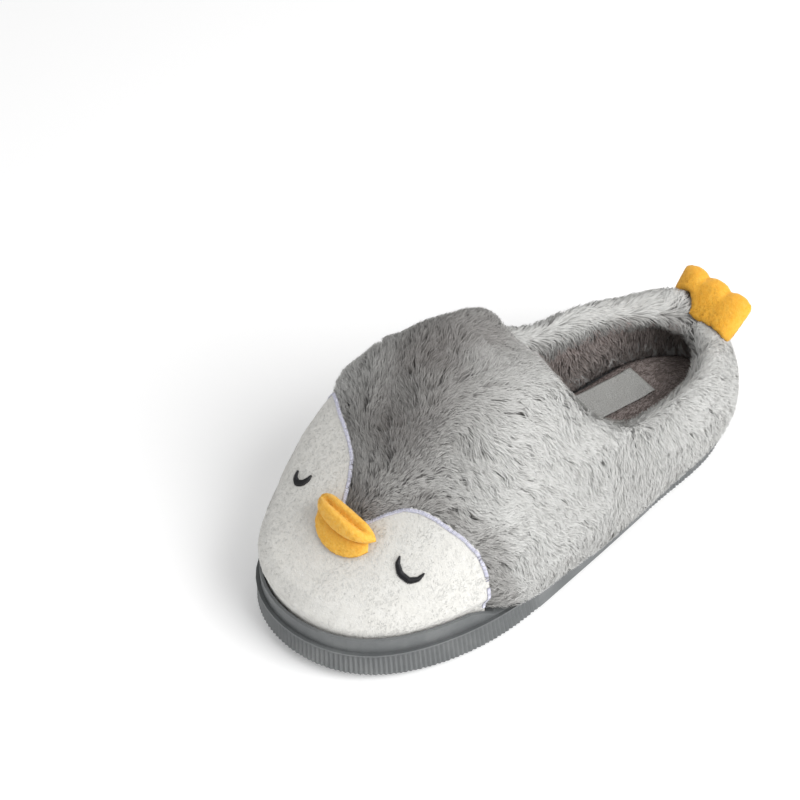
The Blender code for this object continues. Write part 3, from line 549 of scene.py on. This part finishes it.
def grow_pile(name, tree, roots, normals, lie, length, rise, width, tuft_size, swirl, gather, dusk,
              hem, material, chance):
    """Fibres as narrow leaves, gathered into tufts that each lean their own way along the skin.

    lie is the way the pile is combed, rise its height over the backing, swirl how far the tufts turn,
    gather how far their fibres close up, dusk how dark they are, and hem the lowest place they reach.
    """
    count = len(roots)
    tufts = roots[::tuft_size]
    finder = kdtree.KDTree(len(tufts))
    for number, spot in enumerate(tufts):
        finder.insert(spot, number)
    finder.balance()
    nearest = np.array([finder.find(spot)[1] for spot in roots])
    turn = np.array([noise.noise(Vector(spot) * 55) * swirl + noise.noise(Vector(spot) * 160) * swirl * 0.5
                     for spot in tufts]) + chance.normal(0, 0.20, len(tufts))
    shade = chance.normal(0, 1, len(tufts))
    flat = unit(lie - normals * (lie * normals).sum(axis=1, keepdims=True))
    across = np.cross(normals, flat)
    angle = (turn[nearest] + chance.normal(0, 0.16, count))[:, None]
    lean = flat * np.cos(angle) + across * np.sin(angle)
    size = (length * chance.uniform(0.75, 1.1, count))[:, None]
    lean[:, 2] = np.maximum(lean[:, 2], (hem - roots[:, 2]) / size[:, 0])
    lean = unit(lean)
    side = np.cross(normals, lean)
    height = (rise * chance.uniform(0.0, 1.0, (2, count)) ** 2)[:, :, None] * 0.45
    pull = (tufts[nearest] - roots) * gather
    depth = np.broadcast_to(rise, count)[:, None]
    knee = roots + lean * size * 0.12 - normals * depth * 0.70 + pull * 0.2
    bend, bend_normals = laid_on(tree, roots + lean * size * 0.58 + pull * 0.65)
    tip, tip_normals = laid_on(tree, roots + lean * size * 0.96 + pull)
    bend += bend_normals * (height[0] - depth * 0.12)
    tip += tip_normals * (height[1] + depth * 0.05)
    wide = side * (width * chance.uniform(0.7, 1.2, count))[:, None] / 2
    rows = [knee - wide, knee + wide, bend - wide * 0.7, bend + wide * 0.7, tip]
    points = np.stack(rows, axis=1).reshape(-1, 3)
    first = (np.arange(count) * 5)[:, None]
    quads = first + (1, 0, 2, 3)
    ends = first + (3, 2, 4)
    mesh = bpy.data.meshes.new(name)
    mesh.vertices.add(len(points))
    mesh.vertices.foreach_set("co", points.astype(np.float32).ravel())
    corners = np.concatenate((quads.ravel(), ends.ravel()))
    starts = np.concatenate((np.arange(count) * 4, count * 4 + np.arange(count) * 3))
    mesh.loops.add(len(corners))
    mesh.loops.foreach_set("vertex_index", corners.astype(np.int32))
    mesh.polygons.add(len(starts))
    mesh.polygons.foreach_set("loop_start", starts.astype(np.int32))
    mesh.update(calc_edges=True)
    mesh.validate()
    tone = np.array([0.16, 0.16, 0.74, 0.74, 1.0])[None, :] * np.ones((count, 1))
    tone = tone + (shade[nearest] * 0.04 + chance.normal(0, 0.05, count))[:, None]
    for key, values in (("tone", tone), ("dusk", np.repeat(dusk[:, None], 5, axis=1))):
        layer = mesh.attributes.new(key, "FLOAT", "POINT")
        layer.data.foreach_set("value", np.clip(values, 0, 1).astype(np.float32).ravel())
    mesh.materials.append(material)
    mesh.shade_smooth()
    stray = lean * 0.25 + chance.normal(0, 0.15, (count, 3))
    blend = [unit(direction * 0.8 + stray) for direction in
             (normals, normals, bend_normals, bend_normals, tip_normals)]
    mesh.normals_split_custom_set_from_vertices(np.stack(blend, axis=1).reshape(-1, 3).astype(np.float32))
    piece = bpy.data.objects.new(name, mesh)
    bpy.context.scene.collection.objects.link(piece)
    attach(piece, "root")
    return piece


def pile_material(name, stops, dusk_stops):
    """Fibre colours from root to tip, with a second set where the pile is dusky."""
    material, tree, shader = new_material(name, stops[1][1], 0.75)
    tone = add_node(tree, "ShaderNodeAttribute", attribute_name="tone")
    dusk = add_node(tree, "ShaderNodeAttribute", attribute_name="dusk")
    mix = add_node(tree, "ShaderNodeMix", data_type="RGBA")
    tree.links.new(dusk.outputs["Fac"], mix.inputs["Factor"])
    tree.links.new(ramp(tree, tone.outputs["Fac"], stops), mix.inputs[6])
    tree.links.new(ramp(tree, tone.outputs["Fac"], dusk_stops), mix.inputs[7])
    tree.links.new(mix.outputs[2], shader.inputs["Base Color"])
    shader.inputs["Specular IOR Level"].default_value = 0.25
    return material


grey_fur = pile_material(
    "grey_fur",
    ((0.0, (0.30, 0.296, 0.288)), (0.35, (0.455, 0.452, 0.438)), (0.75, (0.570, 0.570, 0.552)),
     (1.0, (0.68, 0.68, 0.665))),
    ((0.0, (0.070, 0.063, 0.059)), (0.35, (0.130, 0.120, 0.113)), (0.75, (0.215, 0.203, 0.194)),
     (1.0, (0.345, 0.332, 0.320))))
brown_pile = pile_material(
    "brown_pile",
    ((0.0, (0.10, 0.080, 0.073)), (0.35, (0.23, 0.186, 0.170)), (0.75, (0.38, 0.318, 0.298)),
     (1.0, (0.50, 0.440, 0.422))),
    ((0.0, (0.08, 0.066, 0.060)), (0.35, (0.17, 0.146, 0.135)), (0.75, (0.28, 0.245, 0.230)),
     (1.0, (0.38, 0.340, 0.325))))


def outwardness(points, normals):
    """How far the skin faces away from the inside of the shoe, from -1 to 1."""
    centre = points.copy()
    centre[:, 0] = sole_middle.x + 0.004
    centre[:, 1] = np.clip(points[:, 1], sole_middle.y - 0.068, sole_middle.y + 0.058)
    centre[:, 2] = 0.040
    return (unit(points - centre) * normals).sum(axis=1)


def behind_face(points):
    """How far the places lie behind the sewn edge of the face, along the shoe."""
    right, left = lobe_edge(1), lobe_edge(-1)
    line = np.concatenate((left[::-1], right))
    return np.interp(points[:, 0], line[:, 0], line[:, 1]) - points[:, 1]


def side_heights(cloud, low_share):
    """Height of the cloud along the shoe, on its lateral and its medial side."""
    shelves = np.arange(-0.135, 0.140, 0.005)
    table = np.zeros((2, len(shelves)))
    for side, sign in enumerate((-1, 1)):
        for number, shelf in enumerate(shelves):
            near = cloud[(abs(cloud[:, 1] - shelf) < 0.006) & ((cloud[:, 0] - sole_middle.x) * sign > 0)]
            if len(near) and low_share:
                near = near[abs(near[:, 0]) > abs(near[:, 0]).max() - low_share]
            table[side, number] = near[:, 2].max() if len(near) else 0.02
    return shelves, table


def height_at(heights, points):
    """The table's height at each point."""
    shelves, table = heights
    lateral = np.interp(points[:, 1], shelves, table[0])
    medial = np.interp(points[:, 1], shelves, table[1])
    blend = soft_between(-0.006, 0.006, points[:, 0] - sole_middle.x)
    return lateral * (1 - blend) + medial * blend


sole_edge = side_heights(np.array([v.co for v in outsole.data.vertices]), 0.004)
collar_crest = side_heights(pile_skin[0].reshape(-1, 3), 0)


def fur_lie(points):
    """Which way the pile is combed at each place."""
    x, y, z = (points - np.array(sole_middle)).T
    medial = soft_between(-0.022, 0.026, x)[:, None]
    side = np.array((-0.80, -0.50, -0.60)) * (1 - medial) + np.array((0.45, -0.70, -0.35)) * medial
    crown = np.exp(-(((x - 0.010) / 0.024) ** 2))[:, None] * soft_between(0.02, 0.06, z)[:, None]
    vamp = soft_between(-0.03, 0.01, y)[:, None]
    lie = side + np.array((0.25, -0.45, 0.30)) * crown * vamp
    away = np.stack((x - 0.0, (y + 0.045) * 0.8, np.full_like(x, -0.035)), axis=1)
    lie = unit(lie * vamp + unit(away) * (1 - vamp) + side * (1 - vamp) * 0.35)
    from_face = np.stack((x - 0.003, np.minimum(y - 0.095, -0.02), np.zeros_like(x)), axis=1)
    near = soft_between(0.012, 0.002, behind_face(points))[:, None]
    return unit(lie * (1 - near) + unit(from_face) * near)


def vamp_dusk(points):
    """Where the grey pile is darker and browner: partly its own browner tone on the vamp, partly painted
    shade from the lie of the pile there, and a painted shadow in the crease along the face's lateral edge.
    """
    x, y, z = (points - np.array(sole_middle)).T
    along = np.clip(y / 0.085, 0, 1)
    middle = 0.022 - 0.016 * along
    # The vamp patch is partly the pile's own browner tone and partly painted shade where the pile's lie makes
    # it look darker.
    brown_and_shaded_patch = np.exp(-(((x - middle) / 0.028) ** 2)) * soft_between(-0.030, 0.012, y)
    # Painted shadow in the crease where the fur meets the face's edge, strongest on the lateral side.
    painted_crease_shadow = soft_between(0.010, 0.002, behind_face(points)) * soft_between(0.030, -0.045, x) * 0.5
    spots = np.array([noise.noise(Vector(p) * 45) for p in points]) * 0.45
    return np.clip(brown_and_shaded_patch * 0.85 + painted_crease_shadow + spots * (0.25 + 0.75 * brown_and_shaded_patch), 0, 1)


chance = np.random.default_rng(12)
pile_tree = BVHTree.FromPolygons([tuple(p) for p in pile_skin[0].reshape(-1, 3)],
                                 [(k, k + 1, k + 2) for k in range(0, len(pile_skin[0]) * 3, 3)])


def roll_in(points):
    """How far down inside the collar the grey pile reaches."""
    x, y, _ = (points - np.array(sole_middle)).T
    return 0.011 + 0.008 * soft_between(-0.055, -0.02, y) * soft_between(0.0, 0.015, x)


FUR_FIBRES = 3.6e6
ZONES = {
    "fur_vamp": lambda y, x: (y > 0.004) & (x > -0.022),
    "fur_lateral": lambda y, x: (y > -0.022) & (x <= -0.022),
    "fur_instep": lambda y, x: (y <= 0.004) & (y > -0.022) & (x > -0.022),
    "fur_heel_lateral": lambda y, x: (y <= -0.022) & (x <= 0),
    "fur_heel_medial": lambda y, x: (y <= -0.022) & (x > 0),
}
for zone, within in ZONES.items():
    def keep(points, normals):
        """Outer skin of this zone and its roll over the collar, clear of the face."""
        local = points - np.array(sole_middle)
        outer = outwardness(points, normals) > -0.25
        rolled = (local[:, 1] < -0.012) & (height_at(collar_crest, points) - points[:, 2] < roll_in(points))
        return (outer | rolled) & within(local[:, 1], local[:, 0]) & (behind_face(points) > -0.0022) \
            & (normals[:, 2] > -0.75)

    roots, normals = scatter(pile_skin, FUR_FIBRES, chance, keep)
    inner = (outwardness(roots, normals) <= -0.25) * soft_between(
        0.002, roll_in(roots), height_at(collar_crest, roots) - roots[:, 2])
    lie = fur_lie(roots) * (1 - inner[:, None]) + np.array((0, -0.1, -1.0)) * inner[:, None]
    trimmed = soft_between(0.035, 0.06, (roots - sole_middle)[:, 1])
    length = PILE_RISE / 0.42 * (1 - 0.3 * inner) * (1 - 0.2 * trimmed)
    # Painted shade: the pile turned in over the collar is darkened (inner * 0.8 as its dusk), more the
    # further it turns in.
    grow_pile(zone, pile_tree, roots, normals, lie, length, PILE_RISE, 0.00054, 24, 1.1, 0.42,
              np.maximum(vamp_dusk(roots), inner * 0.8), height_at(sole_edge, roots) - 0.001,
              grey_fur, chance)


# Lining
# The same fabric turned in over the collar, its pile shorter and brown, with painted shade that darkens it
# the deeper it lies inside the shoe.
def keep_lining(points, normals):
    """Inner skin that shows through the collar, below the roll of grey pile."""
    local = points - np.array(sole_middle)
    deep = (local[:, 1] > -0.012) | (height_at(collar_crest, points) - points[:, 2] > roll_in(points) - 0.003)
    return (outwardness(points, normals) <= -0.25) & (local[:, 1] < 0.035) & (points[:, 2] > 0.024) & deep


roots, normals = scatter(pile_skin, 1.9e6, chance, keep_lining)
# Painted shade: the lining is darker the deeper it lies inside the shoe.
depth = soft_between(0.062, 0.034, roots[:, 2])
grow_pile("lining_pile", pile_tree, roots, normals, np.tile((0.0, -0.2, -1.0), (len(roots), 1)),
          np.full(len(roots), 0.0062), PILE_RISE * 0.8, 0.00058, 12, 1.0, 0.4, depth,
          np.full(len(roots), 0.02), brown_pile, chance)


def keep_footbed(points, normals):
    """Top of the footbed as far as it can be seen."""
    return (normals[:, 2] > 0.5) & (points[:, 1] < sole_middle.y + 0.05)


roots, normals = scatter(skin_of(footbed), 2.1e6, chance, keep_footbed)
grow_pile("footbed_pile", skin_tree(footbed), roots, normals, np.tile((-0.3, -1.0, 0.0), (len(roots), 1)),
          np.full(len(roots), 0.0034), 0.001, 0.00056, 12, 1.6, 0.2, np.zeros(len(roots)),
          np.zeros(len(roots)), brown_pile, chance)


# Nap
# The short pile of the white plush on the face and of the orange plush on the beak and tail,
# brushed in soft swirls and standing a little over the pieces' edges.
def pick_all(points, normals):
    """The whole skin."""
    return np.ones(len(points), dtype=bool)


white_nap = pile_material(
    "white_nap",
    ((0.0, (0.672, 0.664, 0.630)), (0.35, (0.697, 0.690, 0.659)), (0.75, (0.731, 0.726, 0.701)),
     (1.0, (0.756, 0.753, 0.731))),
    ((0.0, (0.622, 0.613, 0.580)), (0.35, (0.655, 0.648, 0.617)), (0.75, (0.689, 0.684, 0.655)),
     (1.0, (0.722, 0.719, 0.697))))
orange_nap = pile_material(
    "orange_nap",
    ((0.0, (0.88, 0.42, 0.030)), (0.35, (0.92, 0.48, 0.045)), (0.75, (0.96, 0.54, 0.070)),
     (1.0, (0.98, 0.62, 0.13))),
    ((0.0, (0.84, 0.36, 0.018)), (0.35, (0.89, 0.42, 0.028)), (0.75, (0.93, 0.47, 0.042)),
     (1.0, (0.96, 0.54, 0.075))))
for nap_name, piece, nap, slot, density, length in (
        ("face_nap", face, white_nap, "face_panel", 2.3e6, 0.0022),
        ("upper_bill_nap", bills["beak_upper"], orange_nap, "beak_upper", 5e6, 0.0016),
        ("lower_bill_nap", bills["beak_lower"], orange_nap, "beak_lower", 5e6, 0.0016),
        ("tail_nap", tail, orange_nap, "tail_tab", 4.5e6, 0.0018)):
    roots, normals = scatter(skin_of(piece), density, chance, pick_all)
    spread = np.array([noise.noise(Vector(p) * 90) for p in roots])
    grow_pile(nap_name, skin_tree(piece), roots, normals, np.tile((-0.3, 0.5, -1.0), (len(roots), 1)),
              np.full(len(roots), length), length * 0.28, 0.00040, 14, 2.0, 0.25,
              np.clip(0.4 + spread * 0.8, 0, 1), np.zeros(len(roots)), nap, chance)
